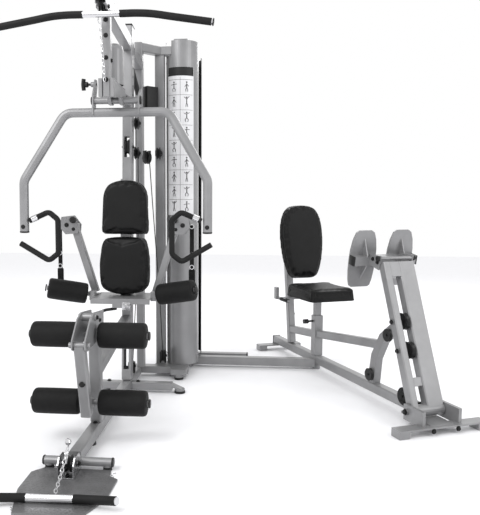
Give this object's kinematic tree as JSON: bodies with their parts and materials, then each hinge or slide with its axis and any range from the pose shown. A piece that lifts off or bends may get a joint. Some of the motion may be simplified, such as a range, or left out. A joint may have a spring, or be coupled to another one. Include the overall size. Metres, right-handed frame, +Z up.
{
  "type": "multi station home gym",
  "caption": "Multi station home gym with a press arm, padded back, leg developer, cable stations, a shrouded weight stack and an angled leg press.",
  "frame": {"origin": "middle of the floor area that the gym takes up, on the floor", "axes": "+X to the right of someone facing the gym, +Y away from them, +Z up"},
  "size_m": [2.2632, 2.6209, 1.9872],
  "materials": {
    "silver_paint": "satin powder coat",
    "dark_paint": "satin powder coat",
    "vinyl": "grained upholstery vinyl",
    "foam": "skinned foam",
    "webbing": "woven webbing",
    "grip_rubber": "matte rubber grip",
    "chrome": "polished",
    "black_plastic": "moulded nylon",
    "iron": "painted iron",
    "tread": "raised tread pattern",
    "cable": "coated wire rope",
    "chart": "printed panel"
  },
  "bodies": {
    "frame": {"press_base": "silver_paint", "press_seat_frame": "silver_paint", "press_back_pad": "vinyl", "base_frame": "silver_paint", "tread_plate": "tread", "main_upright": "silver_paint", "top_boom": "silver_paint", "front_hanger": "silver_paint", "spring_cover": "silver_paint", "rear_column": "silver_paint", "rear_tower": "silver_paint", "stack_base": "silver_paint", "shroud_front": "silver_paint", "shroud_rear": "dark_paint", "weight_plates": "iron", "guide_rod_front": "chrome", "guide_rod_rear": "chrome", "stack_cable": "cable", "chart_panel": "chart", "upper_pad": "vinyl", "lumbar_pad": "vinyl", "pad_strip": "silver_paint", "seat_shelf": "silver_paint", "cable_arm_left": "silver_paint", "cable_arm_right": "silver_paint", "leg_support": "silver_paint", "lat_cable": "cable", "low_pulley_bracket": "tread", "low_bar": "chrome", "link_beam": "silver_paint"},
    "press_arm": {"press_arm": "silver_paint", "press_grip_left": "grip_rubber", "press_grip_right": "grip_rubber"},
    "pull_pin": {"pull_pin": "black_plastic"},
    "leg_arm": {"leg_arm": "silver_paint"},
    "lat_bar": {"lat_bar": "chrome"},
    "carriage": {"stack_head": "iron", "lifted_plates": "iron"},
    "selector_pin": {"selector_pin": "chrome"},
    "leg_press_arm": {"leg_press_arm": "silver_paint", "foot_plates": "silver_paint"},
    "seat_post": {"seat_post": "silver_paint", "press_seat_pad": "vinyl"},
    "seat_pin": {"seat_pin": "black_plastic"},
    "seat_lever": {"seat_lever": "black_plastic"},
    "strap_left": {"strap_left": "webbing"},
    "strap_right": {"strap_right": "webbing"},
    "upper_roller_left": {"upper_roller_left": "foam"},
    "upper_roller_right": {"upper_roller_right": "foam"},
    "lower_roller_left": {"lower_roller_left": "foam"},
    "lower_roller_right": {"lower_roller_right": "foam"},
    "seat_roller_left": {"seat_roller_left": "foam"},
    "seat_roller_right": {"seat_roller_right": "foam"},
    "arm_pulley_left": {"arm_pulley_left": "black_plastic"},
    "arm_pulley_right": {"arm_pulley_right": "black_plastic"},
    "lat_pulley": {"lat_pulley": "black_plastic"},
    "low_pulley": {"low_pulley": "black_plastic"},
    "upright_pulley": {"upright_pulley": "black_plastic"},
    "press_pulley_low": {"press_pulley_low": "black_plastic"},
    "press_pulley_high": {"press_pulley_high": "black_plastic"}
  },
  "joints": [
    {"name": "press_arm_swing", "type": "hinge", "parent": "frame", "child": "press_arm", "pos_m": [-0.62938, -0.11246, 1.537], "axis": [-1, 0, 0], "range_deg": [0, 45]},
    {"name": "pull_pin_slide", "type": "slide", "parent": "press_arm", "child": "pull_pin", "axis": [-1, 0, 0], "range_m": [0, 0.015], "stiffness_N_per_m": 400},
    {"name": "leg_arm_swing", "type": "hinge", "parent": "frame", "child": "leg_arm", "pos_m": [-0.62938, -0.83746, 0.465], "axis": [-1, 0, 0], "range_deg": [0, 85], "stiffness_Nm_per_rad": 20, "springref_deg": -28.65},
    {"name": "upper_roller_left_spin", "type": "hinge", "parent": "frame", "child": "upper_roller_left", "pos_m": [-0.77288, -0.68746, 0.477], "axis": [1, 0, 0], "continuous": true},
    {"name": "upper_roller_right_spin", "type": "hinge", "parent": "frame", "child": "upper_roller_right", "pos_m": [-0.48588, -0.68746, 0.477], "axis": [1, 0, 0], "continuous": true},
    {"name": "lower_roller_left_spin", "type": "hinge", "parent": "leg_arm", "child": "lower_roller_left", "pos_m": [-0.77288, -0.68746, 0.187], "axis": [1, 0, 0], "continuous": true},
    {"name": "lower_roller_right_spin", "type": "hinge", "parent": "leg_arm", "child": "lower_roller_right", "pos_m": [-0.48588, -0.68746, 0.187], "axis": [1, 0, 0], "continuous": true},
    {"name": "seat_roller_left_spin", "type": "hinge", "parent": "frame", "child": "seat_roller_left", "pos_m": [-0.91757, -0.03315, 0.56897], "axis": [-0.9384, -0.2978, 0.1754], "continuous": true},
    {"name": "seat_roller_right_spin", "type": "hinge", "parent": "frame", "child": "seat_roller_right", "pos_m": [-0.34119, -0.03315, 0.56897], "axis": [0.9384, -0.2978, 0.1754], "continuous": true},
    {"name": "arm_pulley_left_spin", "type": "hinge", "parent": "frame", "child": "arm_pulley_left", "pos_m": [-0.94138, 0.07254, 0.912], "axis": [0, 1, 0], "continuous": true},
    {"name": "arm_pulley_right_spin", "type": "hinge", "parent": "frame", "child": "arm_pulley_right", "pos_m": [-0.31738, 0.07254, 0.912], "axis": [0, 1, 0], "continuous": true},
    {"name": "lat_pulley_spin", "type": "hinge", "parent": "frame", "child": "lat_pulley", "pos_m": [-0.62938, -0.37346, 1.915], "axis": [1, 0, 0], "continuous": true},
    {"name": "upright_pulley_spin", "type": "hinge", "parent": "frame", "child": "upright_pulley", "pos_m": [-0.62938, 0.15054, 1.33], "axis": [1, 0, 0], "continuous": true},
    {"name": "low_pulley_spin", "type": "hinge", "parent": "frame", "child": "low_pulley", "pos_m": [-0.62938, -1.00746, 0.05], "axis": [1, 0, 0], "continuous": true},
    {"name": "press_pulley_low_spin", "type": "hinge", "parent": "leg_press_arm", "child": "press_pulley_low", "pos_m": [0.79629, -0.20269, 0.332], "axis": [0.9205, 0.3907, 0], "continuous": true},
    {"name": "press_pulley_high_spin", "type": "hinge", "parent": "leg_press_arm", "child": "press_pulley_high", "pos_m": [0.77598, -0.15486, 0.462], "axis": [0.9205, 0.3907, 0], "continuous": true},
    {"name": "lat_bar_tilt", "type": "hinge", "parent": "frame", "child": "lat_bar", "pos_m": [-0.62938, -0.41146, 1.886], "axis": [0, 1, 0], "range_deg": [-12, 12]},
    {"name": "stack_lift", "type": "slide", "parent": "frame", "child": "carriage", "axis": [0, 0, 1], "range_m": [0, 0.32], "deforming": ["stack_cable"]},
    {"name": "selector_pin_slide", "type": "slide", "parent": "carriage", "child": "selector_pin", "axis": [-1, 0, 0], "range_m": [0, 0.08]},
    {"name": "leg_press_swing", "type": "hinge", "parent": "frame", "child": "leg_press_arm", "pos_m": [0.86175, -0.2878, 0.072], "axis": [0.9205, 0.3907, 0], "range_deg": [0, 35]},
    {"name": "press_seat_height", "type": "slide", "parent": "frame", "child": "seat_post", "axis": [0, 0, 1], "range_m": [0, 0.08]},
    {"name": "seat_pin_slide", "type": "slide", "parent": "frame", "child": "seat_pin", "axis": [-0.9205, -0.3907, 0], "range_m": [0, 0.02], "stiffness_N_per_m": 400},
    {"name": "seat_lever_turn", "type": "hinge", "parent": "frame", "child": "seat_lever", "pos_m": [-0.65538, -0.04746, 0.4815], "axis": [0, 0, -1], "range_deg": [0, 25], "stiffness_Nm_per_rad": 0.5},
    {"name": "strap_left_swing", "type": "hinge", "parent": "frame", "child": "strap_left", "pos_m": [-0.98738, 0.07254, 0.915], "axis": [0, 1, 0], "range_deg": [0, 60]},
    {"name": "strap_right_swing", "type": "hinge", "parent": "frame", "child": "strap_right", "pos_m": [-0.27138, 0.07254, 0.915], "axis": [0, -1, 0], "range_deg": [0, 60]}
  ],
  "couplings": [
    {"joint": "stack_lift", "follows": "press_arm_swing", "m_per_rad": 0.4}
  ]
}
